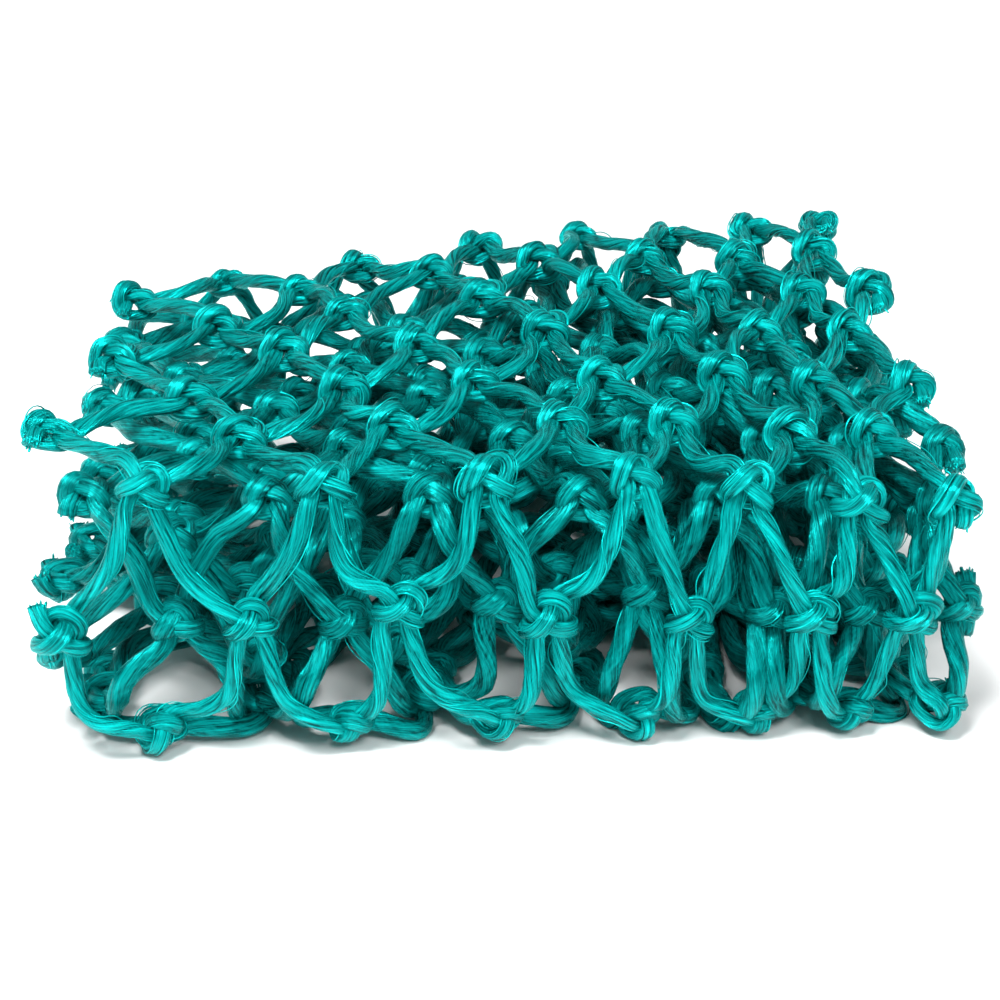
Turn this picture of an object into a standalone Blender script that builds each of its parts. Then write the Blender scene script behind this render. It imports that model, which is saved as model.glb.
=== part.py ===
"""A folded pack of knotted twine netting.

The net is one sheet of diamond mesh folded into a flat pack.  Every row of the
net is one twine that zigzags across the width, and at each mesh corner it is
knotted to the twine of the next row.  Each row twine is one closed body here.

The sheet is followed along its length by the distance s: up the short flap at
the back, over the top layer to the front, down the front wall, back along the
bottom, and so on round and round inwards.
X runs across the pack, Y from front to back, Z up.  Metres throughout.
"""

import math
import random

import bmesh
import bpy
import numpy as np

# Overall layout of the pack
PACK_HALF_WIDTH = 0.1010  # outermost knots, either side of the middle
LAYER_SKEW = 0.0045  # the layers lie shifted across the pack by up to this much
SKEW_PERIOD = 0.290  # length of sheet over which that shift comes and goes
FRONT_WALL_Y = -0.088  # middle of the twine in the front wall
BACK_FLAP_Y = 0.096  # middle of the twine in the back flap
INNER_BACK_Y = 0.087  # middle of the twine in the outermost wall inside the flap
WALL_GAP = 0.0086  # from one front or back wall to the next one inside it
LAYER_PITCH = 0.0094  # from one layer to the next one inside it
FIRST_PITCH = 0.0080  # the same between the two lowest layers
TOP_Z = 0.0695  # middle of the twine in the top layer
WRAPS = 3  # times the sheet goes round, the outermost one included
ROW_PITCH = 0.0298  # length of sheet that one row takes up, inside the pack
CORNER_RADIUS = 0.008  # bend of the sheet round the outside edges
FLAP_DROP = 0.023  # straight part of the flap behind the pack
WALL_BOW = 0.0025  # how far the front wall bulges outwards

# Twine and knots
TWINE_HALF_THICKNESS = 0.0024
KNOT_HALF_THICKNESS = 0.0030
KNOT_OFFSET = 0.0038  # each twine's share of a knot lies this far off the knot line
CORNER_KNOT_OFFSET = 0.0050  # the same where the sheet turns a corner
KNOT_HALF_LENGTH = 0.0022  # half the flat part of a twine's bend inside a knot
KNOT_REACH = 0.0075  # along the twine, from the knot to where it is plain again
STUB_LENGTH = 0.0075  # cut end past the last knot of a row
STUB_SPLAY = 0.0012  # the cut ends lean away from each other

# Mesh rhythm: the diamonds get narrower towards +X
BARS_PER_ROW = 13
LEFT_STRETCH = 1.40
RIGHT_SQUEEZE = 0.40
JITTER_X = 0.0026
JITTER_S = 0.0024
LOOSE_GAIN = 1.7  # how much more uneven the knots are away from the hinged edges
SEED = 41

# Unevenness of the pack's height, as shares of the local height
SWELL_ACROSS = 0.030
SWELL_DEEP = 0.026
SWELL_TILT = 0.030
SWELL_TWIST = 0.090  # the corners at +X back and -X front stand higher, the other two lower
DEPTH_FLARE = 0.035  # the top is this much deeper at +X than in the middle

OUTER_SIDES = 6
INNER_SIDES = 4

TOP_ROWS = 6
WALL_ROWS = 2

# Middle of the finished pack's footprint, taken off so that the origin lies there
MIDDLE_X = -0.0015
MIDDLE_Y = 0.0037

PATH_STEP = 0.0004
SPARE_SHEET = 0.006  # path past both free edges, where uneven knots may stray

# The rows of the top layer turn about the upper front edge, those of the wall about the lower one
PIVOTS = {
    "top": (0.0, -0.0894, 0.0653),
    "front": (0.0, -0.0894, 0.0053),
}

COLOURS = {
    "top": (0.020, 0.430, 0.400, 1.0),
    "front": (0.018, 0.390, 0.370, 1.0),
    "bottom": (0.012, 0.290, 0.280, 1.0),
    "inner": (0.010, 0.240, 0.235, 1.0),
}


class Track:
    """The folded sheet seen from the side: a line in the YZ plane, walked by distance."""

    def __init__(self, y, z, heading_deg):
        self.points = [(y, z)]
        self.heading = math.radians(heading_deg)
        self.length = 0.0
        self.marks = {}

    def run(self, distance):
        steps = max(1, round(distance / PATH_STEP))
        y0, z0 = self.points[-1]
        dy, dz = math.cos(self.heading), math.sin(self.heading)
        for i in range(1, steps + 1):
            t = distance * i / steps
            self.points.append((y0 + dy * t, z0 + dz * t))
        self.length += distance

    def turn(self, radius, degrees):
        arc = radius * math.radians(abs(degrees))
        side = math.copysign(1.0, degrees)
        y0, z0 = self.points[-1]
        cy = y0 - side * radius * math.sin(self.heading)
        cz = z0 + side * radius * math.cos(self.heading)
        steps = max(4, round(arc / PATH_STEP))
        start = self.heading
        for i in range(1, steps + 1):
            h = start + math.radians(degrees) * i / steps
            self.points.append((cy + side * radius * math.sin(h), cz - side * radius * math.cos(h)))
        self.heading = start + math.radians(degrees)
        self.length += arc

    def mark(self, name, back=0.0):
        """Remember a place, `back` metres before the present end."""
        self.marks[name] = self.length - back

    def finish(self):
        pts = np.array(self.points)
        gaps = np.linalg.norm(np.diff(pts, axis=0), axis=1)
        self.table = pts
        self.distance = np.concatenate([[0.0], np.cumsum(gaps)])

    def at(self, s):
        y = float(np.interp(s, self.distance, self.table[:, 0]))
        z = float(np.interp(s, self.distance, self.table[:, 1]))
        return y, z

    def normal(self, s):
        ya, za = self.at(s - PATH_STEP)
        yb, zb = self.at(s + PATH_STEP)
        along = np.array([yb - ya, zb - za])
        along /= np.linalg.norm(along)
        return np.array([0.0, -along[1], along[0]])


BOTTOM_Z = KNOT_HALF_THICKNESS


def trace_sheet():
    """The whole sheet, from the flap's free edge inwards: rolled up flat, with its end inside."""
    half_corner = CORNER_RADIUS * math.pi / 4
    track = Track(BACK_FLAP_Y, TOP_Z - CORNER_RADIUS - FLAP_DROP - SPARE_SHEET, 90)
    track.run(SPARE_SHEET)
    track.mark("flap_edge")
    track.run(FLAP_DROP)
    track.turn(CORNER_RADIUS, 90)
    track.mark("top_back", back=half_corner)
    track.run(BACK_FLAP_Y - FRONT_WALL_Y - 2 * CORNER_RADIUS)
    track.turn(CORNER_RADIUS, 90)
    track.mark("top_front", back=half_corner)
    track.run(TOP_Z - BOTTOM_Z - 2 * CORNER_RADIUS)
    track.turn(CORNER_RADIUS, 90)
    track.mark("bottom_front", back=half_corner)
    start, front, back = FRONT_WALL_Y, FRONT_WALL_Y + WALL_GAP, INNER_BACK_Y
    low, high = BOTTOM_Z, TOP_Z - LAYER_PITCH
    for wrap in range(2, WRAPS + 1):
        track.run(back - start - 2 * CORNER_RADIUS)
        track.mark(f"wrap_{wrap}")
        track.turn(CORNER_RADIUS, 90)
        track.run(high - low - 2 * CORNER_RADIUS)
        track.turn(CORNER_RADIUS, 90)
        track.run(back - front - 2 * CORNER_RADIUS)
        track.turn(CORNER_RADIUS, 90)
        low += FIRST_PITCH if wrap == 2 else LAYER_PITCH
        track.run(high - low - 2 * CORNER_RADIUS)
        track.turn(CORNER_RADIUS, 90)
        start, front, back = front, front + WALL_GAP, back - WALL_GAP
        high -= LAYER_PITCH
    core_radius = (high - low) / 4
    track.run(back - start - 2 * CORNER_RADIUS)
    track.mark("core")
    track.turn(CORNER_RADIUS, 90)
    track.run(high - low - 2 * CORNER_RADIUS)
    track.turn(CORNER_RADIUS, 90)
    track.run(back - front - CORNER_RADIUS - core_radius)
    track.turn(core_radius, 180)
    track.run(back - front - 2 * CORNER_RADIUS)
    track.mark("core_edge")
    track.run(SPARE_SHEET)
    track.finish()
    return track


def knot_lines(track):
    """Distances of all knot lines, and for each row its name and group."""
    marks = track.marks
    lines = [marks["flap_edge"]]
    rows = [("back_flap_twine", "top")]
    lines += list(np.linspace(marks["top_back"], marks["top_front"], TOP_ROWS + 1))
    rows += [(f"top_twine_{i}", "top") for i in range(1, TOP_ROWS + 1)]
    lines += list(np.linspace(marks["top_front"], marks["bottom_front"], WALL_ROWS + 1))[1:]
    rows += [(f"front_twine_{i}", "front") for i in range(1, WALL_ROWS + 1)]
    count = round((marks["core_edge"] - marks["bottom_front"]) / ROW_PITCH)
    inner = list(np.linspace(marks["bottom_front"], marks["core_edge"], count + 1))
    lines += inner[1:]
    counts = {}
    for first, second in zip(inner, inner[1:]):
        middle = (first + second) / 2
        part = "bottom"
        for mark in [f"wrap_{wrap}" for wrap in range(2, WRAPS + 1)] + ["core"]:
            if middle > marks[mark]:
                part = mark
        counts[part] = counts.get(part, 0) + 1
        rows.append((f"{part}_twine_{counts[part]}", "bottom" if part == "bottom" else "inner"))
    return lines, rows


def across(step):
    """X of the mesh corner number `step`, wide spacing at -X and narrow at +X."""
    u = step / BARS_PER_ROW
    return PACK_HALF_WIDTH * (2 * (LEFT_STRETCH * u - RIGHT_SQUEEZE * u * u) - 1)


def jitter_table(line_count):
    """A small fixed shift in X and along the sheet for each knot."""
    rng = random.Random(SEED)
    table = []
    for line in range(line_count):
        wave = rng.uniform(0, 2 * math.pi)
        row = []
        for step in range(BARS_PER_ROW + 1):
            dx = rng.uniform(-JITTER_X, JITTER_X) * (1.0 - 0.5 * step / BARS_PER_ROW)
            drift = 0.4 * math.sin(wave + 0.7 * step)
            ds = JITTER_S * (0.6 * rng.uniform(-1, 1) + drift)
            row.append((dx, ds))
        table.append(row)
    return table


class Net:
    """Everything needed to put a point of the sheet into space."""

    def __init__(self):
        self.track = trace_sheet()
        self.lines, self.rows = knot_lines(self.track)
        self.jitter = jitter_table(len(self.lines))

    def place(self, s, x):
        y, z = self.track.at(s)
        marks = self.track.marks
        low, high = marks["top_front"], marks["bottom_front"]
        if low < s < high:
            y -= WALL_BOW * math.sin(math.pi * (s - low) / (high - low)) ** 2
        swell = 1.0 + SWELL_ACROSS * math.sin(2 * math.pi * (x / 0.170 + 0.15))
        swell += SWELL_DEEP * math.cos(2 * math.pi * (y / 0.230 - 0.20))
        swell += SWELL_TILT * x / PACK_HALF_WIDTH
        swell += SWELL_TWIST * (x / PACK_HALF_WIDTH) * (y / BACK_FLAP_Y)
        z = BOTTOM_Z + (z - BOTTOM_Z) * swell
        y *= 1.0 + DEPTH_FLARE * (x / PACK_HALF_WIDTH) * (z / TOP_Z)
        return np.array([x - MIDDLE_X, y - MIDDLE_Y, z])

    def is_edge(self, line):
        return line in (0, len(self.lines) - 1)

    def at_corner(self, line):
        marks = self.track.marks
        corners = (marks["top_back"], marks["top_front"], marks["bottom_front"])
        return min(abs(self.lines[line] - c) for c in corners) < 0.001

    def offset(self, line):
        inside = self.lines[line] > self.track.marks["bottom_front"] - 0.001
        return CORNER_KNOT_OFFSET if inside or self.at_corner(line) else KNOT_OFFSET

    def looseness(self, line):
        tied = self.at_corner(line) or self.is_edge(line)
        return 1.0 if tied else LOOSE_GAIN

    def corner(self, row, step):
        """Where row `row` makes its bend number `step`: x, s, and whether it is knotted there."""
        line = row + (step + row) % 2
        dx, ds = (v * self.looseness(line) for v in self.jitter[line][step])
        toward = 1.0 if line == row else -1.0
        s = self.lines[line] + ds + toward * self.offset(line)
        if self.is_edge(line):
            s = self.lines[line] + ds
        dx += LAYER_SKEW * math.sin(2 * math.pi * s / SKEW_PERIOD)
        return across(step) + dx, s, not self.is_edge(line)


def row_stations(net, row, group):
    """Centre points of one twine as (s, x, half thickness), from one cut end to the other."""
    bends = [net.corner(row, step) for step in range(BARS_PER_ROW + 1)]
    lines = [row + (step + row) % 2 for step in range(BARS_PER_ROW + 1)]
    double = group != "inner"
    bar_rings = 3 if group == "inner" else 2
    stations = []

    def outward(index):
        return 1.0 if lines[index] == row else -1.0

    x, s, knotted = bends[0]
    stations.append((s + outward(0) * STUB_SPLAY, x - STUB_LENGTH, TWINE_HALF_THICKNESS))
    for i, (x, s, knotted) in enumerate(bends):
        half = KNOT_HALF_THICKNESS if knotted else TWINE_HALF_THICKNESS
        if double:
            stations.append((s, x - KNOT_HALF_LENGTH, half))
            stations.append((s, x + KNOT_HALF_LENGTH, half))
        else:
            stations.append((s, x, half))
        if i == BARS_PER_ROW:
            break
        x2, s2, _ = bends[i + 1]
        share = KNOT_REACH / math.hypot(x2 - x, s2 - s)
        for t in np.linspace(share, 1.0 - share, bar_rings):
            stations.append((s + (s2 - s) * t, x + (x2 - x) * t, TWINE_HALF_THICKNESS))
    x, s, knotted = bends[-1]
    stations.append((s + outward(-1) * STUB_SPLAY, x + STUB_LENGTH, TWINE_HALF_THICKNESS))
    return stations


def sweep(net, stations, sides):
    """Closed tube through the stations, with one flat facing each side of the sheet."""
    mesh = bmesh.new()
    centres = [net.place(s, x) for s, x, _ in stations]
    rings = []
    for i, (s, _, half) in enumerate(stations):
        before = centres[max(i - 1, 0)]
        after = centres[min(i + 1, len(centres) - 1)]
        into = centres[i] - before
        out = after - centres[i]
        along = sum(v / np.linalg.norm(v) for v in (into, out) if np.linalg.norm(v) > 0)
        along /= np.linalg.norm(along)
        sideways = np.cross(along, net.track.normal(s))
        sideways /= np.linalg.norm(sideways)
        up = np.cross(sideways, along)
        radius = half / math.cos(math.pi / sides)
        ring = []
        for k in range(sides):
            a = 2 * math.pi * (k + 0.5) / sides + math.pi / 2
            ring.append(mesh.verts.new(centres[i] + radius * (math.cos(a) * sideways + math.sin(a) * up)))
        rings.append(ring)
    for ring, following in zip(rings, rings[1:]):
        for k in range(sides):
            j = (k + 1) % sides
            mesh.faces.new((ring[k], ring[j], following[j], following[k]))
    mesh.faces.new(rings[0][::-1])
    mesh.faces.new(rings[-1])
    bmesh.ops.recalc_face_normals(mesh, faces=mesh.faces)
    return mesh


def add_row(net, row, name, group, materials):
    sides = OUTER_SIDES if group in ("top", "front") else INNER_SIDES
    built = sweep(net, row_stations(net, row, group), sides)
    mesh = bpy.data.meshes.new(name)
    pivot = PIVOTS.get(group, (0.0, 0.0, 0.0))
    for vert in built.verts:
        vert.co.z = max(vert.co.z, 0.0)
        vert.co.y -= pivot[1]
        vert.co.z -= pivot[2]
    built.to_mesh(mesh)
    built.free()
    for face in mesh.polygons:
        face.use_smooth = True
    mesh.set_sharp_from_angle(angle=math.radians(50))
    mesh.materials.append(materials[group])
    body = bpy.data.objects.new(name, mesh)
    body.location = pivot
    bpy.context.scene.collection.objects.link(body)


def make_materials():
    made = {}
    for name, colour in COLOURS.items():
        material = bpy.data.materials.new(f"twine_{name}")
        material.use_nodes = True
        shader = material.node_tree.nodes["Principled BSDF"]
        shader.inputs["Base Color"].default_value = colour
        shader.inputs["Roughness"].default_value = 0.45
        shader.inputs["Metallic"].default_value = 0.0
        made[name] = material
    return made


def main():
    for old in list(bpy.data.objects):
        bpy.data.objects.remove(old, do_unlink=True)
    net = Net()
    materials = make_materials()
    for row, (name, group) in enumerate(net.rows):
        add_row(net, row, name, group, materials)


main()
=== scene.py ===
"""Looks of the folded knotted net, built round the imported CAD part."""

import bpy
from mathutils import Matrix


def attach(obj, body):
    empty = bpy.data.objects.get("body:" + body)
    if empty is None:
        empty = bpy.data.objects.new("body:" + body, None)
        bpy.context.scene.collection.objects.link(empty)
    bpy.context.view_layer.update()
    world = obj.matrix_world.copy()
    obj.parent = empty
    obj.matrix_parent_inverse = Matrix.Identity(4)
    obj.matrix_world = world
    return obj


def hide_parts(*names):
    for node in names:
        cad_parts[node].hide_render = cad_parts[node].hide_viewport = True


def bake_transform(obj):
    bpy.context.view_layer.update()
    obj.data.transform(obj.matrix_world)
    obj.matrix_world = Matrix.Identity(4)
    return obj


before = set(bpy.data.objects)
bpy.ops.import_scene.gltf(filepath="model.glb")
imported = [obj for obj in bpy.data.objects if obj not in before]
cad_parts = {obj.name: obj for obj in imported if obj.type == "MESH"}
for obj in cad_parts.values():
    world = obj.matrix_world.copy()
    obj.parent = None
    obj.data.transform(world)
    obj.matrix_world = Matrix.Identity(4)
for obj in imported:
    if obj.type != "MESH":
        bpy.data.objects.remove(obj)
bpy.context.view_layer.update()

import math
import random

import bpy
import numpy as np
from mathutils import Vector

# ------------------------------------------------ the folded sheet (as in the CAD part), metres
PACK_HALF_WIDTH = 0.1010
LAYER_SKEW = 0.0045  # the sheet sways sideways by this
SKEW_PERIOD = 0.290  # ... once to and fro in this length of sheet
FRONT_WALL_Y = -0.088
BACK_FLAP_Y = 0.096
INNER_BACK_Y = 0.087  # back wall of the second turn
WALL_GAP = 0.0086  # from one front or back wall to the next one in
LAYER_PITCH = 0.0094  # from one flat layer to the next
FIRST_PITCH = 0.0080  # the same, between the lowest layer and the second
TOP_Z = 0.0695
BOTTOM_Z = 0.0030
WRAPS = 3  # turns of the rolled-up sheet round its core
ROW_PITCH = 0.0298  # from knot line to knot line, inside the pack
CORNER_RADIUS = 0.008  # bend of the sheet round the outside edges
FLAP_DROP = 0.023
SPARE_SHEET = 0.012  # path beyond both free edges, for loops that reach past them
PATH_STEP = 0.0004
WALL_BOW = 0.0025  # how far the front wall bulges
TOP_ROWS = 6
WALL_ROWS = 2
BARS_PER_ROW = 13
LEFT_STRETCH = 1.40  # the meshes are wide at the left end
RIGHT_SQUEEZE = 0.40  # ... and get narrower to the right by this
JITTER_X = 0.0026  # how far knots stray across and along the sheet
JITTER_S = 0.0024
LOOSE_GAIN = 1.7  # knots away from the folds stray this much more
SEED = 41
SWELL_ACROSS = 0.030  # the height swells and sinks by these shares of itself
SWELL_ACROSS_LENGTH = 0.170
SWELL_ACROSS_PHASE = 0.15
SWELL_DEEP = 0.026
SWELL_DEEP_LENGTH = 0.230
SWELL_DEEP_PHASE = -0.20
SWELL_TILT = 0.030
SWELL_TWIST = 0.090
DEPTH_FLARE = 0.035
MIDDLE_X = -0.0015
MIDDLE_Y = 0.0037

# ------------------------------------------------ twine, metres
TWINE = 0.0040  # mean thickness of the twine you see
INNER_TWINE = 0.0048  # the same inside the pack, where it is looser
KNOT_UNIT = 0.0029  # one unit of the knot shape, in the plane of the net
KNOT_UNIT_THROUGH = 0.0025  # the same through the net
KNOT_CENTRE = (0.70, 0.40)  # middle of the knot shape, along and through
KNOT_TURNS = (16, 14, 14)  # most that a knot is turned, tilted and leaned, degrees
KNOT_FADE = (0.0055, 0.0045)  # from the first distance on, over the second, the twine is free
LEG_HOLD = 0.004  # a leg is led to its bar's middle from this distance on
LAY_LENGTH = 0.062  # the fibres go once round in this length
BOTTOM_LIFT = 0.0026  # the lowest layer's knots stand on the floor
LIFT_FADE = 0.016  # ... and the lift is gone at this height
SAG = 0.0060  # the inner turns hang this far into their lower front corners
SAG_LENGTH = 0.022
STUB = 0.0084  # a cut end reaches this far from the middle of its knot
TUCK_IN, TUCK_SIDE = 0.0045, 0.0030  # a cut end is tucked inwards and sideways by these
EDGE_REACH, EDGE_HALF = 0.0135, 0.006  # depth and half width of the plain loops at a free edge
RIGHT_SLACK = 1.2  # bars get slacker to the right
INNER_SLACK = 2.2  # ... and inside the pack
BAR_SLACK = (0.0014, 0.0016, 0.0022)  # how far a bar's middle strays: across, along, through
BAR_BOW = (-0.20, 0.45)  # how far a bar bows towards the corner between its two knots
FOOT_BOW = (0.35, 0.60)  # the same in the lowest row of the front wall
FIRST_BOTTOM_BOW = (-0.85, -0.50)  # the same in the row behind it, on the floor
SMOOTHING_ROUNDS = 60
OUTER_DETAIL = (66, 0.0009, 70)  # points round a twine, gap between rings, loose fibres
INNER_DETAIL = (22, 0.0014, 24)
FLOOR_GAP = 0.00025  # nothing goes lower than this


class Track:
    """The folded sheet seen from the side: a line in the YZ plane, walked by distance."""

    def __init__(self, y, z, heading_deg):
        self.points = [(y, z)]
        self.heading = math.radians(heading_deg)
        self.length = 0.0
        self.marks = {}

    def run(self, distance):
        steps = max(1, round(distance / PATH_STEP))
        y0, z0 = self.points[-1]
        dy, dz = math.cos(self.heading), math.sin(self.heading)
        for i in range(1, steps + 1):
            t = distance * i / steps
            self.points.append((y0 + dy * t, z0 + dz * t))
        self.length += distance

    def turn(self, radius, degrees):
        arc = radius * math.radians(abs(degrees))
        side = math.copysign(1.0, degrees)
        y0, z0 = self.points[-1]
        cy = y0 - side * radius * math.sin(self.heading)
        cz = z0 + side * radius * math.cos(self.heading)
        steps = max(4, round(arc / PATH_STEP))
        start = self.heading
        for i in range(1, steps + 1):
            h = start + math.radians(degrees) * i / steps
            self.points.append((cy + side * radius * math.sin(h), cz - side * radius * math.cos(h)))
        self.heading = start + math.radians(degrees)
        self.length += arc

    def mark(self, name, back=0.0):
        self.marks[name] = self.length - back

    def finish(self):
        pts = np.array(self.points)
        gaps = np.linalg.norm(np.diff(pts, axis=0), axis=1)
        self.table = pts
        self.distance = np.concatenate([[0.0], np.cumsum(gaps)])
        along = np.gradient(pts, axis=0)
        along /= np.linalg.norm(along, axis=1)[:, None]
        self.along = along


def trace_sheet():
    """The whole sheet, from the flap's free edge inwards: rolled up flat, with its end inside."""
    half_corner = CORNER_RADIUS * math.pi / 4
    track = Track(BACK_FLAP_Y, TOP_Z - CORNER_RADIUS - FLAP_DROP - SPARE_SHEET, 90)
    track.run(SPARE_SHEET)
    track.mark("flap_edge")
    track.run(FLAP_DROP)
    track.turn(CORNER_RADIUS, 90)
    track.mark("top_back", back=half_corner)
    track.run(BACK_FLAP_Y - FRONT_WALL_Y - 2 * CORNER_RADIUS)
    track.turn(CORNER_RADIUS, 90)
    track.mark("top_front", back=half_corner)
    track.run(TOP_Z - BOTTOM_Z - 2 * CORNER_RADIUS)
    track.turn(CORNER_RADIUS, 90)
    track.mark("bottom_front", back=half_corner)
    start, front, back = FRONT_WALL_Y, FRONT_WALL_Y + WALL_GAP, INNER_BACK_Y
    low, high = BOTTOM_Z, TOP_Z - LAYER_PITCH
    for wrap in range(2, WRAPS + 1):
        track.run(back - start - 2 * CORNER_RADIUS)
        track.mark(f"wrap_{wrap}")
        track.turn(CORNER_RADIUS, 90)
        track.run(high - low - 2 * CORNER_RADIUS)
        track.turn(CORNER_RADIUS, 90)
        track.run(back - front - 2 * CORNER_RADIUS)
        track.turn(CORNER_RADIUS, 90)
        low += FIRST_PITCH if wrap == 2 else LAYER_PITCH
        track.run(high - low - 2 * CORNER_RADIUS)
        track.turn(CORNER_RADIUS, 90)
        start, front, back = front, front + WALL_GAP, back - WALL_GAP
        high -= LAYER_PITCH
    core_radius = (high - low) / 4
    track.run(back - start - 2 * CORNER_RADIUS)
    track.mark("core")
    track.turn(CORNER_RADIUS, 90)
    track.run(high - low - 2 * CORNER_RADIUS)
    track.turn(CORNER_RADIUS, 90)
    track.run(back - front - CORNER_RADIUS - core_radius)
    track.turn(core_radius, 180)
    track.run(back - front - 2 * CORNER_RADIUS)
    track.mark("core_edge")
    track.run(SPARE_SHEET)
    track.finish()
    return track


def knot_lines(track):
    """Distances of all knot lines, and for each row its name and group."""
    marks = track.marks
    lines = [marks["flap_edge"]]
    rows = [("back_flap_twine", "top")]
    lines += list(np.linspace(marks["top_back"], marks["top_front"], TOP_ROWS + 1))
    rows += [(f"top_twine_{i}", "top") for i in range(1, TOP_ROWS + 1)]
    lines += list(np.linspace(marks["top_front"], marks["bottom_front"], WALL_ROWS + 1))[1:]
    rows += [(f"front_twine_{i}", "front") for i in range(1, WALL_ROWS + 1)]
    count = round((marks["core_edge"] - marks["bottom_front"]) / ROW_PITCH)
    inner = list(np.linspace(marks["bottom_front"], marks["core_edge"], count + 1))
    lines += inner[1:]
    counts = {}
    for first, second in zip(inner, inner[1:]):
        middle = (first + second) / 2
        part = "bottom"
        for mark in [f"wrap_{wrap}" for wrap in range(2, WRAPS + 1)] + ["core"]:
            if middle > marks[mark]:
                part = mark
        counts[part] = counts.get(part, 0) + 1
        rows.append((f"{part}_twine_{counts[part]}", "bottom" if part == "bottom" else "inner"))
    return lines, rows


def across(step):
    u = step / BARS_PER_ROW
    return PACK_HALF_WIDTH * (2 * (LEFT_STRETCH * u - RIGHT_SQUEEZE * u * u) - 1)


def jitter_table(line_count):
    rng = random.Random(SEED)
    table = []
    for line in range(line_count):
        wave = rng.uniform(0, 2 * math.pi)
        row = []
        for step in range(BARS_PER_ROW + 1):
            dx = rng.uniform(-JITTER_X, JITTER_X) * (1.0 - 0.5 * step / BARS_PER_ROW)
            drift = 0.4 * math.sin(wave + 0.7 * step)
            ds = JITTER_S * (0.6 * rng.uniform(-1, 1) + drift)
            row.append((dx, ds))
        table.append(row)
    return table


track = trace_sheet()
marks = track.marks
LINES, ROWS = knot_lines(track)
LEAD = SPARE_SHEET - 0.006  # the CAD part's path starts this much later
JITTER = jitter_table(len(LINES))


def place(x, s, w):
    """World points of sheet places: x across, s along the sheet, w outwards through it."""
    y = np.interp(s, track.distance, track.table[:, 0])
    z = np.interp(s, track.distance, track.table[:, 1])
    ay = np.interp(s, track.distance, track.along[:, 0])
    az = np.interp(s, track.distance, track.along[:, 1])
    low, high = marks["top_front"], marks["bottom_front"]
    t = np.clip((s - low) / (high - low), 0, 1)
    bow = WALL_BOW * np.sin(math.pi * t) ** 2
    wave = 2 * math.pi * (x / SWELL_ACROSS_LENGTH + SWELL_ACROSS_PHASE)
    swell = 1.0 + SWELL_ACROSS * np.sin(wave)
    swell += SWELL_DEEP * np.cos(2 * math.pi * (y / SWELL_DEEP_LENGTH + SWELL_DEEP_PHASE))
    swell += SWELL_TILT * x / PACK_HALF_WIDTH
    swell += SWELL_TWIST * (x / PACK_HALF_WIDTH) * (y / BACK_FLAP_Y)
    y = y - bow
    z = BOTTOM_Z + (z - BOTTOM_Z) * swell
    y = y * (1.0 + DEPTH_FLARE * (x / PACK_HALF_WIDTH) * (z / TOP_Z))
    z = z + BOTTOM_LIFT * np.clip(1.0 - z / LIFT_FADE, 0, 1)
    y = y + w * az
    z = z - w * ay
    return np.stack([x - MIDDLE_X, y - MIDDLE_Y, z], -1)


def sheet_axes(s):
    """Unit vectors of the sheet at s: across, back along the sheet, outwards."""
    ay = np.interp(s, track.distance, track.along[:, 0])
    az = np.interp(s, track.distance, track.along[:, 1])
    zero = np.zeros_like(s)
    one = np.ones_like(s)
    sideways = np.stack([one, zero, zero], -1)
    back_along = np.stack([zero, -ay, -az], -1)
    outwards = np.stack([zero, az, -ay], -1)
    return sideways, back_along, outwards


# ------------------------------------------------ the netting knot (a sheet bend)
# Loose shapes of its two twines, in units of about one twine: across, along, through.
BIGHT = [
    (-3.2, -3.6, 0.0), (-2.2, -2.6, 0.0), (-1.3, -1.7, 0.0), (-0.7, -0.9, 0.0), (-0.9, 0.2, 0.1),
    (-1.0, 1.2, 0.2), (-0.6, 2.0, 0.3), (0.0, 2.3, 0.3), (0.6, 2.0, 0.3), (1.0, 1.2, 0.2),
    (0.9, 0.2, 0.1), (0.7, -0.9, 0.0), (1.3, -1.7, 0.0), (2.2, -2.6, 0.0), (3.2, -3.6, 0.0),
]
WRAP = [
    (-3.2, 3.6, 0.3), (-2.2, 2.6, 0.6), (-1.3, 1.6, 1.1), (-0.4, 0.9, 1.2), (0.5, 0.3, 1.2),
    (1.5, -0.3, 0.8), (1.9, -0.8, 0.0), (1.3, -1.0, -0.9), (0.0, -1.05, -1.1), (-1.3, -1.0, -0.9),
    (-1.9, -0.7, 0.0), (-1.6, -0.1, 0.9), (-0.9, 0.35, 1.6), (-0.2, 0.8, 2.2), (0.25, 1.25, 1.4),
    (0.3, 1.4, 0.3), (0.4, 1.5, -0.6), (1.0, 2.2, -1.0), (2.0, 3.0, -0.6), (3.2, 3.6, 0.0),
]
KNOT_STEP = 0.25  # between two points of a shape
LEG_SPREAD, LEG_REACH = 3.2, 3.6  # where the legs of both shapes end
LEG_START, LEG_RAMP = 1.2, 2.4  # from here on, over this, a leg is stretched
KNOT_SPREADS = (1.4, 2.2, 3.2)  # the leg spreads that knots are made for
KNOT_REACH = 4.7
TIGHTNESS = ((0.95, 240), (1.06, 200), (1.20, 120))  # closest approach and rounds of pulling


def resample(p, n):
    d = np.concatenate([[0], np.cumsum(np.linalg.norm(np.diff(p, axis=0), axis=1))])
    t = np.linspace(0, d[-1], n)
    return np.stack([np.interp(t, d, p[:, i]) for i in range(p.shape[1])], 1)


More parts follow.
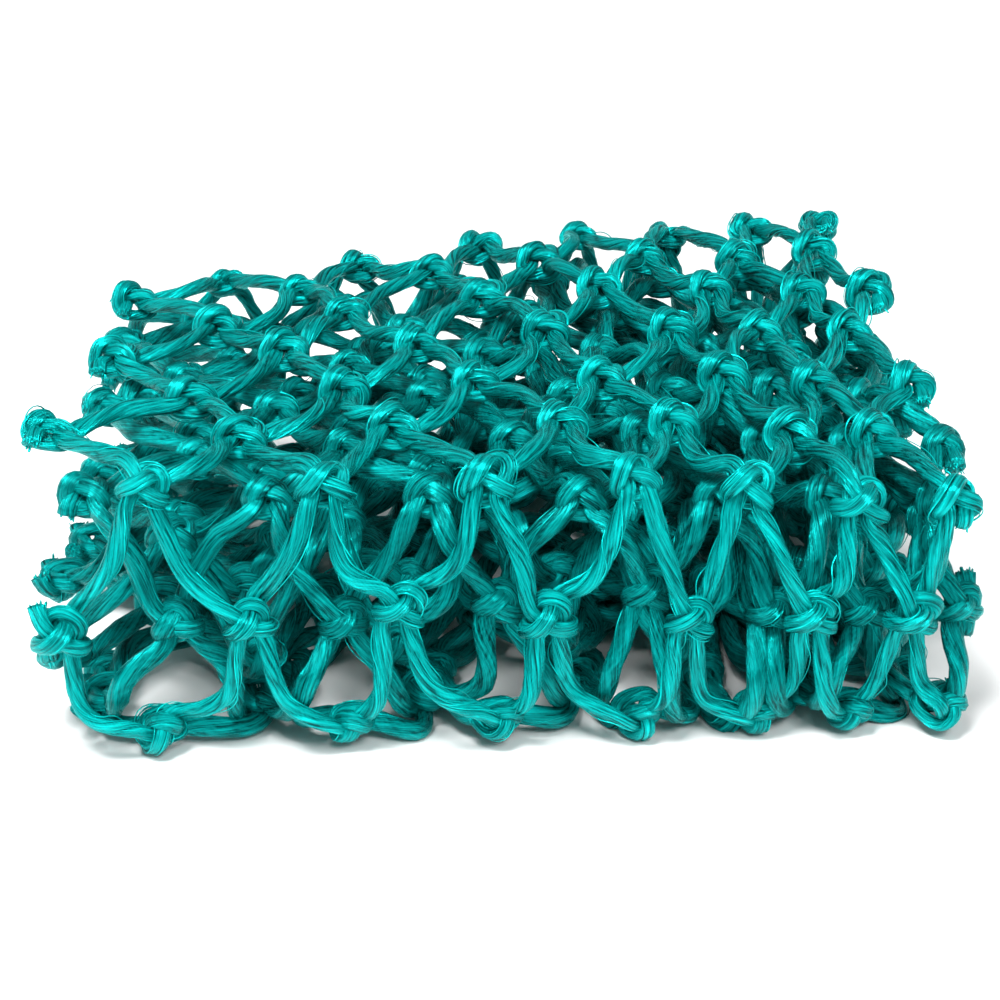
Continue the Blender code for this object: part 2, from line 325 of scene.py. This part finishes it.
def tighten(spread, reach, gap, rounds):
    """Pulls the loose knot shape tight, and gives both twines with the squeeze on every point.

    spread and reach say where the four legs end, and gap how close two twines may come.
    """

    def stretch(points):
        p = np.array(points, float)
        far = np.clip((np.abs(p[:, 1]) - LEG_START) / LEG_RAMP, 0, 1)
        p[:, 0] *= 1 + far * (spread / LEG_SPREAD - 1)
        p[:, 1] *= 1 + far * (reach / LEG_REACH - 1)
        return p

    ropes = []
    for points in (BIGHT, WRAP):
        p = stretch(points)
        length = np.linalg.norm(np.diff(p, axis=0), axis=1).sum()
        ropes.append(resample(p, int(length / KNOT_STEP)))
    a, b = ropes
    na, nb = len(a), len(b)
    index = np.concatenate([np.arange(na), np.arange(nb)])
    rope = np.concatenate([np.zeros(na), np.ones(nb)])
    same = rope[:, None] == rope[None, :]
    fixed = np.zeros(na + nb, bool)
    fixed[[0, na - 1, na, na + nb - 1]] = True
    for turn in range(rounds):
        for p in (a, b):
            p[1:-1] += 0.5 * (0.5 * (p[:-2] + p[2:]) - p[1:-1])
        q = np.concatenate([a, b])
        step = np.where(
            rope == 0,
            np.linalg.norm(np.diff(a, axis=0), axis=1).mean(),
            np.linalg.norm(np.diff(b, axis=0), axis=1).mean(),
        )
        skip = same & (np.abs(index[:, None] - index[None, :]) * step[:, None] < 1.5 * gap)
        for _ in range(3):
            diff = q[:, None, :] - q[None, :, :]
            dist = np.sqrt((diff**2).sum(-1)) + 1e-9
            near = (dist < gap) & ~skip
            push = np.where(near, 0.5 * (gap - dist) / dist, 0)
            move = (diff * push[:, :, None]).sum(1) / np.maximum(1, near.sum(1) * 0.5)[:, None]
            move[fixed] = 0
            q = q + move
        a, b = q[:na], q[na:]
        if turn % 4 == 3:
            a, b = resample(a, na), resample(b, nb)
    # how each point is squeezed by its neighbours
    q = np.concatenate([a, b])
    diff = q[:, None, :] - q[None, :, :]
    dist = np.sqrt((diff**2).sum(-1)) + 1e-9
    close = np.where(skip, 0, np.exp(-(((dist - gap) / (0.25 * gap)) ** 2)) * (dist < 1.5 * gap))
    unit = diff / dist[:, :, None]
    squeeze = np.einsum("ij,ija,ijb->iab", close, unit, unit)
    trace = np.trace(squeeze, axis1=1, axis2=2)
    squeeze /= np.maximum(1.0, trace)[:, None, None]
    return (a, squeeze[:na]), (b, squeeze[na:])


KNOTS = {}


def knot(spread, loose):
    """The knot shape nearest to what is asked, made once."""
    i = int(np.argmin([abs(spread - c) for c in KNOT_SPREADS]))
    key = (i, loose)
    if key not in KNOTS:
        gap, rounds = TIGHTNESS[loose]
        KNOTS[key] = tighten(KNOT_SPREADS[i], KNOT_REACH, gap, rounds)
    return KNOTS[key]


# ------------------------------------------------ centre line of one row
def is_edge(line):
    return line in (0, len(LINES) - 1)


def front_foot(first, last):
    """Where the sheet goes round its lower front corner, between two marks."""
    d, (y, z) = track.distance, track.table.T
    inside = (d > marks[first]) & (d < marks[last]) & (y < FRONT_WALL_Y + 0.035) & (z < 0.030)
    return float(d[inside].mean())


FEET = (front_foot("wrap_2", "wrap_3"), front_foot("wrap_3", "core"))


def sag(s):
    """How far the inner turns hang out at their lower front corners."""
    return sum(SAG * np.exp(-(((s - foot) / SAG_LENGTH) ** 2)) for foot in FEET)


def at_corner(line):
    corners = (marks["top_back"], marks["top_front"], marks["bottom_front"])
    return min(abs(LINES[line] - c) for c in corners) < 0.001


def corner(row, step):
    """Where a row's twine is knotted after `step` bars: x, s and the knot line."""
    line = row + (step + row) % 2
    gain = 1.0 if at_corner(line) or is_edge(line) else LOOSE_GAIN
    dx, ds = (v * gain for v in JITTER[line][step])
    s_cad = LINES[line] + ds - LEAD
    dx = dx + LAYER_SKEW * math.sin(2 * math.pi * s_cad / SKEW_PERIOD)
    return across(step) + dx, LINES[line] + ds, line


def smooth(t):
    t = np.clip(t, 0, 1)
    return t * t * (3 - 2 * t)


def bar_middle(row, step):
    """Half way along bar `step` of a row, with some slack: x, s, w."""
    x1, s1, _ = corner(row, step)
    x2, s2, _ = corner(row, step + 1)
    r = random.Random(1000 * row + step + 7)
    slack = 1.0 + RIGHT_SLACK * step / BARS_PER_ROW
    outer = row <= TOP_ROWS + WALL_ROWS
    slack *= 1.0 if outer else INNER_SLACK
    # the bar bows towards the place across from its upper knot and level with its lower one
    if s1 > s2:
        x1, s1, x2, s2 = x2, s2, x1, s1
    bow = r.uniform(*BAR_BOW)
    if row == TOP_ROWS + WALL_ROWS:
        bow = r.uniform(*FOOT_BOW)
    elif row == TOP_ROWS + WALL_ROWS + 1:
        bow = r.uniform(*FIRST_BOTTOM_BOW)
    return np.array([
        (x1 + x2) / 2 + bow * (x1 - x2) / 2 + BAR_SLACK[0] * slack * r.uniform(-1, 1),
        (s1 + s2) / 2 + bow * (s2 - s1) / 2 + BAR_SLACK[1] * r.uniform(-1, 1),
        BAR_SLACK[2] * slack * r.uniform(-1, 1),
    ])


def edge_loop(x, s, toward):
    """The plain loop at a free edge of the net, where no other row is knotted to it."""
    loop = []
    for a in np.linspace(-1.0, 1.0, 17):
        bend = abs(a) ** 2.2
        loop.append((x + EDGE_HALF * math.sin(a * 1.35), s + toward * EDGE_REACH * bend, 0.0))
    p = np.array(loop)
    return p, np.zeros((len(p), 3, 3))


def looseness(line, step, group):
    """Which entry of TIGHTNESS a knot has."""
    if group not in ("top", "front"):
        return (line + step) % 2
    loose = (line * 7 + step * 5) % 3
    return 1 if step > 8 and loose == 0 else loose


def knot_rotation(line, step):
    """Each knot is turned, tilted and leaned a little, and both its twines with it."""
    k = random.Random(line * 101 + step)
    turn, tilt, lean = [math.radians(k.uniform(-most, most)) for most in KNOT_TURNS]
    ca, sa = math.cos(turn), math.sin(turn)
    cb, sb = math.cos(tilt), math.sin(tilt)
    cc, sc = math.cos(lean), math.sin(lean)
    rot = np.array([[ca, -sa, 0], [sa, ca, 0], [0, 0, 1]])
    rot = rot @ np.array([[1, 0, 0], [0, cb, -sb], [0, sb, cb]])
    return rot @ np.array([[cc, 0, sc], [0, 1, 0], [-sc, 0, cc]])


def knotted(x, s, line, step, group, is_bight):
    """One row's share of the knot at x, s: its points (x, s, w) and the squeeze on each."""
    half_pitch = 0.5 * (across(min(step + 1, BARS_PER_ROW)) - across(max(step - 1, 0)))
    if step in (0, BARS_PER_ROW):
        half_pitch *= 2
    shape = knot(0.5 * half_pitch / KNOT_UNIT, looseness(line, step, group))
    p, q = shape[0] if is_bight else shape[1]
    p, q = p.copy(), q.copy()
    p[:, 1] -= KNOT_CENTRE[0]
    p[:, 2] -= KNOT_CENTRE[1]
    rot = knot_rotation(line, step)
    leg = smooth((np.linalg.norm(p[:, :2], axis=1) - 1.6) / 2.4)[:, None]  # legs are not turned
    p = p * leg + (p @ rot.T) * (1 - leg)
    q = rot @ q @ rot.T
    p = p * np.array([KNOT_UNIT, KNOT_UNIT, KNOT_UNIT_THROUGH])
    return np.stack([x + p[:, 0], s - p[:, 1], p[:, 2]], 1), q


def row_line(row, group):
    """Points (x, s, w) of one row's twine, with the squeeze on each."""
    pts, squeezes, frees = [], [], []
    for step in range(BARS_PER_ROW + 1):
        x, s, line = corner(row, step)
        is_bight = line == row
        before = bar_middle(row, step - 1) if step > 0 else None
        after = bar_middle(row, step) if step < BARS_PER_ROW else None
        if is_edge(line):
            p, q = edge_loop(x, s, 1.0 if is_bight else -1.0)
        else:
            p, q = knotted(x, s, line, step, group, is_bight)
        away = np.hypot(p[:, 0] - x, p[:, 1] - s)
        free = smooth((away - KNOT_FADE[0]) / KNOT_FADE[1])
        # lead the two legs to the middles of the bars
        n = len(p)
        mid = n // 2
        if before is not None:
            shift = before - p[0]
            ramp = smooth((away[:mid] - LEG_HOLD) / max(1e-6, away[0] - LEG_HOLD))
            p[:mid] += ramp[:, None] * shift
        if after is not None:
            shift = after - p[-1]
            ramp = smooth((away[mid:] - LEG_HOLD) / max(1e-6, away[-1] - LEG_HOLD))
            p[mid:] += ramp[:, None] * shift
        # at the ends of the row, tuck the spare leg in and cut it off
        if before is None or after is None:
            tuck = smooth((away - 0.005) / 0.008)
            side = np.arange(n) < mid if before is None else np.arange(n) >= mid
            p[side, 2] -= TUCK_IN * tuck[side]
            p[side, 0] += (TUCK_SIDE if before is None else -TUCK_SIDE) * tuck[side]
        if before is None:
            keep = np.nonzero(away[:mid] < STUB)[0][0]
            p, q, free = p[keep:], q[keep:], free[keep:]
        if after is None:
            keep = np.nonzero(away[mid:] < STUB)[0][-1] + mid + 1
            p, q, free = p[:keep], q[:keep], free[:keep]
        if pts:
            p, q, free = p[1:], q[1:], free[1:]
        pts.append(p)
        squeezes.append(q)
        frees.append(free)
    # smooth the bars, away from the knots
    pts, give = np.concatenate(pts), 0.5 * np.concatenate(frees)[1:-1, None]
    for _ in range(SMOOTHING_ROUNDS):
        pts[1:-1] += give * (0.5 * (pts[:-2] + pts[2:]) - pts[1:-1])
    pts[:, 2] += sag(pts[:, 1])
    return pts, np.concatenate(squeezes)


# ------------------------------------------------ twine surface
def wander(rng, length, pitch, n):
    """A smooth random curve with about unit swing, changing over `pitch`."""
    count = max(4, int(length / pitch) + 4)
    knots = rng.normal(0, 1, count)
    t = np.linspace(0, count - 1.001, n)
    i = t.astype(int)
    f = t - i
    f = f * f * (3 - 2 * f)
    return knots[i] * (1 - f) + knots[np.minimum(i + 1, count - 1)] * f


def frames(points):
    """A tangent and two crosswise vectors at each point, carried along without spinning."""
    tangent = np.gradient(points, axis=0)
    tangent /= np.linalg.norm(tangent, axis=1)[:, None]
    first = np.zeros_like(points)
    v = np.cross(tangent[0], [0.31, 0.22, 0.93])
    v /= np.linalg.norm(v)
    for i, t in enumerate(tangent):
        v = v - t * float(v @ t)
        v /= math.sqrt(float(v @ v))
        first[i] = v
    return tangent, first, np.cross(tangent, first)


WAVES = ((2, 0.100, 0.030), (3, 0.050, 0.022))  # waves round the twine, depth, pitch
LOBES = ((5, 0.100, 0.030), (9, 0.075, 0.020), (16, 0.045, 0.014))  # strands round it, same
UV_LENGTH = 0.01  # length of twine for one unit of texture


def fibre_rings(path, radius):
    """Rings of four points along a thin loose fibre, tapering at both ends."""
    n = len(path)
    _, f1, f2 = frames(path)
    taper = radius * np.sqrt(np.clip(np.sin(np.linspace(0.04, math.pi - 0.04, n)) * 3, 0.02, 1))
    a = np.arange(4) * math.pi / 2
    e = np.cos(a)[None, :, None] * f1[:, None, :] + np.sin(a)[None, :, None] * f2[:, None, :]
    return path[:, None, :] + e * taper[:, None, None]


class Skin:
    """Grids of rings gathered into one mesh, with the fibre coordinates of every point."""

    def __init__(self):
        self.verts, self.quads, self.caps = [], [], []
        self.uvs, self.cap_uvs, self.fibre, self.groove = [], [], [], []
        self.count = 0

    def add(self, rings, t, turn, groove, tips):
        """Adds one tube: rings of points, distance along, angle in the lay, groove depth, tips."""
        n, sides = rings.shape[:2]
        index = self.count + np.arange(n * sides).reshape(n, sides)
        nxt = np.roll(index, -1, axis=1)
        self.quads.append(np.stack([index[:-1], nxt[:-1], nxt[1:], index[1:]], -1).reshape(-1, 4))
        first, last = self.count + n * sides, self.count + n * sides + 1
        u0, u1 = t[0] / UV_LENGTH, t[-1] / UV_LENGTH
        for j in range(sides):
            self.caps.append((first, int(nxt[0, j]), int(index[0, j])))
            self.caps.append((last, int(index[-1, j]), int(nxt[-1, j])))
            self.cap_uvs += [(u0, 0.0), (u0, 0.02), (u0 + 0.01, 0.01)]
            self.cap_uvs += [(u1, 0.0), (u1, 0.02), (u1 + 0.01, 0.01)]
        u = (t / UV_LENGTH)[:, None] * np.ones(sides)[None, :]
        v = np.arange(sides)[None, :] / sides + (turn[:, :1] / (2 * math.pi))
        step = 1.0 / sides
        self.uvs.append(np.stack([
            np.stack([u[:-1], v[:-1]], -1), np.stack([u[:-1], v[:-1] + step], -1),
            np.stack([u[1:], v[1:] + step], -1), np.stack([u[1:], v[1:]], -1),
        ], 2).reshape(-1, 2))
        coordinates = np.stack([np.cos(turn), np.sin(turn), u], -1).reshape(-1, 3)
        self.verts += [rings.reshape(-1, 3), np.array(tips)]
        self.fibre += [coordinates, np.array([(0.0, 0.0, u0), (0.0, 0.0, u1)])]
        self.groove += [groove.ravel(), np.zeros(2)]
        self.count += n * sides + 2

    def mesh(self, name):
        mesh = bpy.data.meshes.new(name)
        verts = np.concatenate(self.verts)
        verts[:, 2] = np.maximum(verts[:, 2], FLOOR_GAP)
        mesh.from_pydata(verts.tolist(), [], np.concatenate(self.quads).tolist() + self.caps)
        uv = mesh.uv_layers.new(name="along")
        corners = np.concatenate(self.uvs + [np.array(self.cap_uvs)])
        uv.data.foreach_set("uv", corners.astype(np.float32).ravel())
        attribute = mesh.attributes.new("fibre", "FLOAT_VECTOR", "POINT")
        attribute.data.foreach_set("vector", np.concatenate(self.fibre).astype(np.float32).ravel())
        attribute = mesh.attributes.new("groove", "FLOAT", "POINT")
        attribute.data.foreach_set("value", np.concatenate(self.groove).astype(np.float32))
        mesh.polygons.foreach_set("use_smooth", [True] * len(mesh.polygons))
        mesh.update()
        return mesh


def strands(rng, t, turn):
    """Radius of the twine's surface, as a share of its mean, and how deep its grooves are."""
    total, (n, sides) = t[-1], turn.shape
    r = np.ones((n, sides))
    for k, size, pitch in WAVES:
        r += size * np.cos(k * turn + 2.0 * wander(rng, total, pitch, n)[:, None])
    groove = np.zeros((n, sides))
    for k, size, pitch in LOBES:
        if k * 2.4 > sides:
            continue
        phase = 1.6 * wander(rng, total, pitch * 0.8, n)[:, None]
        swerve = 0.7 * np.sin(2 * turn + 3.0 * wander(rng, total, 0.012, n)[:, None])
        swerve += 0.4 * np.sin(3 * turn + 3.0 * wander(rng, total, 0.008, n)[:, None])
        amount = np.clip(0.95 + 0.35 * wander(rng, total, pitch, n), 0.3, 1.6)[:, None]
        lobe = np.sqrt(np.abs(np.cos(0.5 * k * turn + phase + swerve))) - 0.76
        groove += size * amount * lobe
    r += groove
    r *= (1 + 0.035 * wander(rng, total, 0.025, n))[:, None]
    return r, groove


def add_loose_fibres(skin, count, rng, t, ring_gap, winding, centre, f1, f2, r):
    """Fibres that lie proud of the surface."""
    total, n, sides = t[-1], len(t), r.shape[1]
    for _ in range(count):
        length = rng.uniform(0.010, 0.035)
        start = rng.uniform(0, total - length)
        i = np.arange(int(start / ring_gap), int((start + length) / ring_gap))
        i = i[i < n]
        if len(i) < 6:
            continue
        u = np.linspace(0, 1, len(i))
        angle = rng.uniform(0, 2 * math.pi) - winding[i]
        angle = angle + rng.normal(0, 0.5) * u + 0.25 * np.sin(5 * u)
        j = np.round(angle / (2 * math.pi) * sides).astype(int) % sides
        lift = 0.00008 + rng.choice((0.0001, 0.0001, 0.0005, 0.0010)) * np.sin(math.pi * u) ** 2
        reach = np.convolve(np.pad(r[i, j], 2, "edge"), np.ones(5) / 5, "valid") + lift
        out = np.cos(angle)[:, None] * f1[i] + np.sin(angle)[:, None] * f2[i]
        path = centre[i] + out * reach[:, None]
        own = np.full((len(i), 4), rng.uniform(0, 2 * math.pi))
        rings = fibre_rings(path, rng.uniform(0.00011, 0.00020))
        # the groove value 0.8 paints this fibre light, like a lit strand crest: a painted highlight
        skin.add(rings, t[i], own, np.full((len(i), 4), 0.8), [path[0], path[-1]])


def add_frayed_ends(skin, rng, t, tangent, centre, f1, f2):
    """Short fibres that stick out of both cut ends."""
    points = 7
    for end, way in ((0, -1.0), (len(t) - 1, 1.0)):
        for _ in range(14):
            a = rng.uniform(0, 2 * math.pi)
            from_middle = TWINE / 2 * math.sqrt(rng.uniform(0, 1)) * 0.95
            out = math.cos(a) * f1[end] + math.sin(a) * f2[end]
            u = np.linspace(0, 1, points)[:, None]
            length = rng.uniform(0.0010, 0.0022)
            path = centre[end] + out * from_middle + way * tangent[end] * (length * u - 0.0008)
            path = path + out * (rng.uniform(-0.1, 0.5) * length) * u**2
            own = np.full((points, 4), rng.uniform(0, 2 * math.pi))
            rings = fibre_rings(path, rng.uniform(0.00016, 0.00030))
            along = t[end] + np.linspace(0, 0.003, points)
            # the groove value 0.8 paints this fibre light, like a lit strand crest: a painted
            # highlight
            skin.add(rings, along, own, np.full((points, 4), 0.8), [path[0], path[-1]])


def twine_mesh(name, line, squeeze, thickness, detail, rng):
    """One twine as a skin of slowly winding strands, with a few fibres that have come loose."""
    sides, ring_gap, loose_fibres = detail
    flat = np.concatenate([line, squeeze.reshape(len(line), 9)], 1)
    world = place(line[:, 0], line[:, 1], line[:, 2])
    d = np.concatenate([[0], np.cumsum(np.linalg.norm(np.diff(world, axis=0), axis=1))])
    total = d[-1]
    n = int(total / ring_gap)
    t = np.linspace(0, total, n)
    flat = np.stack([np.interp(t, d, flat[:, i]) for i in range(flat.shape[1])], 1)
    for _ in range(4):
        flat[1:-1] = 0.25 * flat[:-2] + 0.5 * flat[1:-1] + 0.25 * flat[2:]
    s = flat[:, 1]
    centre = place(flat[:, 0], s, flat[:, 2])
    q = flat[:, 3:].reshape(n, 3, 3)
    axes = np.stack(sheet_axes(s), 1)  # the knot shape's axes in world space
    q = np.einsum("nia,nij,njb->nab", axes, q, axes)
    tangent, f1, f2 = frames(centre)
    theta = np.linspace(0, 2 * math.pi, sides, endpoint=False)
    e = np.cos(theta)[None, :, None] * f1[:, None, :]
    e = e + np.sin(theta)[None, :, None] * f2[:, None, :]
    # neighbours in a knot press the twine flat, and it bulges to the sides
    squeeze_here = np.einsum("nja,nab,njb->nj", e, q, e)
    around = np.einsum("naa->n", q) - np.einsum("na,nab,nb->n", tangent, q, tangent)
    sideways = around[:, None] - squeeze_here
    winding = 2 * math.pi * t / LAY_LENGTH + 0.6 * wander(rng, total, 0.035, n)
    turn = theta[None, :] + winding[:, None]
    r, groove = strands(rng, t, turn)
    r *= 1 - 0.46 * squeeze_here + 0.16 * sideways
    r = np.maximum(r, 0.42) * thickness / 2
    skin = Skin()
    bulge = TWINE * 0.12
    tips = [centre[0] - tangent[0] * bulge, centre[-1] + tangent[-1] * bulge]
    # the groove depth also goes to the material, where it is painted shade in the grooves and
    # painted highlight on the crests
    skin.add(centre[:, None, :] + e * r[:, :, None], t, turn, groove / 0.08, tips)
    add_loose_fibres(skin, loose_fibres, rng, t, ring_gap, winding, centre, f1, f2, r)
    add_frayed_ends(skin, rng, t, tangent, centre, f1, f2)
    return skin.mesh(name)


# ------------------------------------------------ material
# ends of the twine's colour ramp: fibre tone that differs at random, spread so far that the light
# end is painted glints along the fibres and the dark end painted shade
DARK_TWINE_AND_SHADE = (0.0002, 0.055, 0.057)
LIGHT_TWINE_AND_GLINT = (0.0012, 0.660, 0.635)
COARSE_SHARE, FINE_SHARE, GROOVE_SHADE_SHARE = 0.45, 0.55, 0.12  # what makes a fibre light or dark: two streak noises, partly random fibre tone and partly painted glints, and the groove depth, which paints shade into the grooves and highlight onto the strand crests


def twine_material(name, painted_shade_level):
    """Streaks along the fibres, in colour and in relief, with a silky stretched gloss. In the
    colour the streaks are partly random fibre tone and partly painted glints, the grooves get
    painted shade and the strand crests painted highlight, and twine deeper in the pack is dimmed as
    painted shade.
    """
    m = bpy.data.materials.new(name)
    m.use_nodes = True
    tree = m.node_tree
    nodes, links = tree.nodes, tree.links
    shader = nodes["Principled BSDF"]
    fibre = nodes.new("ShaderNodeAttribute")
    fibre.attribute_name = "fibre"
    groove = nodes.new("ShaderNodeAttribute")
    groove.attribute_name = "groove"

    def streaks(around, along, detail):
        mapping = nodes.new("ShaderNodeMapping")
        mapping.inputs["Scale"].default_value = (around, around, along)
        noise = nodes.new("ShaderNodeTexNoise")
        noise.inputs["Scale"].default_value = 1.0
        noise.inputs["Detail"].default_value = detail
        noise.inputs["Roughness"].default_value = 0.6
        links.new(fibre.outputs["Vector"], mapping.inputs["Vector"])
        links.new(mapping.outputs["Vector"], noise.inputs["Vector"])
        return noise.outputs["Fac"]

    # these streaks set the relief; in the colour they are partly random fibre tone and partly
    # painted glints along the fibres
    coarse = streaks(around=3.5, along=0.60, detail=2.0)
    fine = streaks(around=9.0, along=1.60, detail=3.0)
    ramp = nodes.new("ShaderNodeValToRGB")
    ramp.color_ramp.elements[0].position = 0.36
    ramp.color_ramp.elements[1].position = 0.68
    # painted shade: both ends of the ramp are dimmed for twine deeper in the pack
    ramp.color_ramp.elements[0].color = tuple(c * painted_shade_level for c in DARK_TWINE_AND_SHADE) + (1.0,)
    ramp.color_ramp.elements[1].color = tuple(c * painted_shade_level for c in LIGHT_TWINE_AND_GLINT) + (1.0,)
    mix = nodes.new("ShaderNodeMath")
    mix.operation = "MULTIPLY_ADD"
    mix.inputs[1].default_value = COARSE_SHARE
    links.new(coarse, mix.inputs[0])
    half = nodes.new("ShaderNodeMath")
    half.operation = "MULTIPLY"
    half.inputs[1].default_value = FINE_SHARE
    links.new(fine, half.inputs[0])
    links.new(half.outputs[0], mix.inputs[2])
    # painted shade and highlight: the colour is darker in the grooves between strands and lighter
    # on their crests
    groove_shade = nodes.new("ShaderNodeMath")
    groove_shade.operation = "MULTIPLY_ADD"
    groove_shade.inputs[1].default_value = GROOVE_SHADE_SHARE
    links.new(groove.outputs["Fac"], groove_shade.inputs[0])
    links.new(mix.outputs[0], groove_shade.inputs[2])
    links.new(groove_shade.outputs[0], ramp.inputs["Fac"])
    links.new(ramp.outputs["Color"], shader.inputs["Base Color"])
    bump = nodes.new("ShaderNodeBump")
    bump.inputs["Strength"].default_value = 1.0
    bump.inputs["Distance"].default_value = 0.0010
    links.new(mix.outputs[0], bump.inputs["Height"])
    links.new(bump.outputs["Normal"], shader.inputs["Normal"])
    tangent = nodes.new("ShaderNodeTangent")
    tangent.direction_type = "UV_MAP"
    tangent.uv_map = "along"
    links.new(tangent.outputs["Tangent"], shader.inputs["Tangent"])
    shader.inputs["Roughness"].default_value = 0.23
    shader.inputs["Anisotropic"].default_value = 0.80
    shader.inputs["Anisotropic Rotation"].default_value = 0.25
    shader.inputs["Metallic"].default_value = 0.55
    shader.inputs["Specular IOR Level"].default_value = 0.60
    shader.inputs["Specular Tint"].default_value = (0.06, 0.95, 0.90, 1.0)
    return m


# one twine in copies dimmed as painted shade: a little on the front wall, more on the bottom, most
# inside the pack
MATERIALS = {
    "top": twine_material("turquoise_twine_top", 1.0),
    "front": twine_material("turquoise_twine_front_painted_shade", 0.97),
    "bottom": twine_material("turquoise_twine_bottom_painted_shade", 0.78),
    "inner": twine_material("turquoise_twine_inner_painted_shade", 0.70),
}

# ------------------------------------------------ the rows
for row, (name, group) in enumerate(ROWS):
    outer = group in ("top", "front")
    line, squeeze = row_line(row, group)
    rng = np.random.default_rng(500 + row)
    detail = OUTER_DETAIL if outer else INNER_DETAIL
    thickness = TWINE if outer else INNER_TWINE
    mesh = twine_mesh(name + "_twine", line, squeeze, thickness, detail, rng)
    ob = bpy.data.objects.new(name + "_look", mesh)
    bpy.context.scene.collection.objects.link(ob)
    mesh.materials.append(MATERIALS[group])
    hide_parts(name)
    body = group if outer else "base"
    if name == "front_twine_2":
        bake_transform(ob)
    elif name == "top_twine_6":
        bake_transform(ob)
    else:
        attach(ob, body)

# ------------------------------------------------ floor, light, camera
FLOOR_HALF = 40.0
FLOOR_CORNERS = [
    (-FLOOR_HALF, -FLOOR_HALF, 0), (FLOOR_HALF, -FLOOR_HALF, 0),
    (FLOOR_HALF, FLOOR_HALF, 0), (-FLOOR_HALF, FLOOR_HALF, 0),
]
scene = bpy.context.scene
floor_mesh = bpy.data.meshes.new("floor")
floor_mesh.from_pydata(FLOOR_CORNERS, [], [(0, 1, 2, 3)])
floor = bpy.data.objects.new("floor", floor_mesh)
scene.collection.objects.link(floor)
pale = bpy.data.materials.new("floor_white")
pale.use_nodes = True
nodes, links = pale.node_tree.nodes, pale.node_tree.links
shader = nodes["Principled BSDF"]
shader.inputs["Base Color"].default_value = (0.93, 0.93, 0.93, 1)
shader.inputs["Roughness"].default_value = 0.9
shader.inputs["Specular IOR Level"].default_value = 0.1
# the lamps do not reach the far floor, so it glows a little to stay as white as the near floor
on_floor = nodes.new("ShaderNodeTexCoord")
far = nodes.new("ShaderNodeVectorMath")
far.operation = "LENGTH"
glow = nodes.new("ShaderNodeMapRange")
glow.inputs["From Min"].default_value = 0.40
glow.inputs["From Max"].default_value = 1.40
glow.inputs["To Max"].default_value = 0.80
links.new(on_floor.outputs["Object"], far.inputs[0])
links.new(far.outputs["Value"], glow.inputs["Value"])
links.new(glow.outputs["Result"], shader.inputs["Emission Strength"])
shader.inputs["Emission Color"].default_value = (1, 1, 1, 1)
floor_mesh.materials.append(pale)

world = bpy.data.worlds.new("studio")
scene.world = world
world.use_nodes = True
world.node_tree.nodes["Background"].inputs["Color"].default_value = (1, 1, 1, 1)
world.node_tree.nodes["Background"].inputs["Strength"].default_value = 0.32
scene.view_settings.view_transform = "Standard"


def area(name, where, aim, size, watts):
    """A square lamp at `where`, turned to `aim`."""
    light = bpy.data.lights.new(name, "AREA")
    light.energy = watts
    light.size = size
    ob = bpy.data.objects.new(name, light)
    ob.location = where
    ob.rotation_euler = (Vector(aim) - Vector(where)).to_track_quat("-Z", "Y").to_euler()
    scene.collection.objects.link(ob)


area("key", (-0.28, -0.40, 1.00), (0, 0, 0.03), 0.40, 21.0)
area("front", (0.20, -0.78, 0.74), (0, 0, 0.03), 0.30, 5.5)

AIM = Vector((0.0025, -0.0050, 0.0264))  # middle of the picture
ROUND, UP = math.radians(-3.5), math.radians(22.8)  # direction of the camera from there
DISTANCE = 0.534
camera = bpy.data.cameras.new("camera")
camera.sensor_width = 36.0
camera.lens = 71.9
away = Vector((math.sin(ROUND) * math.cos(UP), -math.cos(ROUND) * math.cos(UP), math.sin(UP)))
camera_ob = bpy.data.objects.new("camera", camera)
camera_ob.location = AIM + DISTANCE * away
camera_ob.rotation_euler = (-away).to_track_quat("-Z", "Y").to_euler()
scene.collection.objects.link(camera_ob)
scene.camera = camera_ob
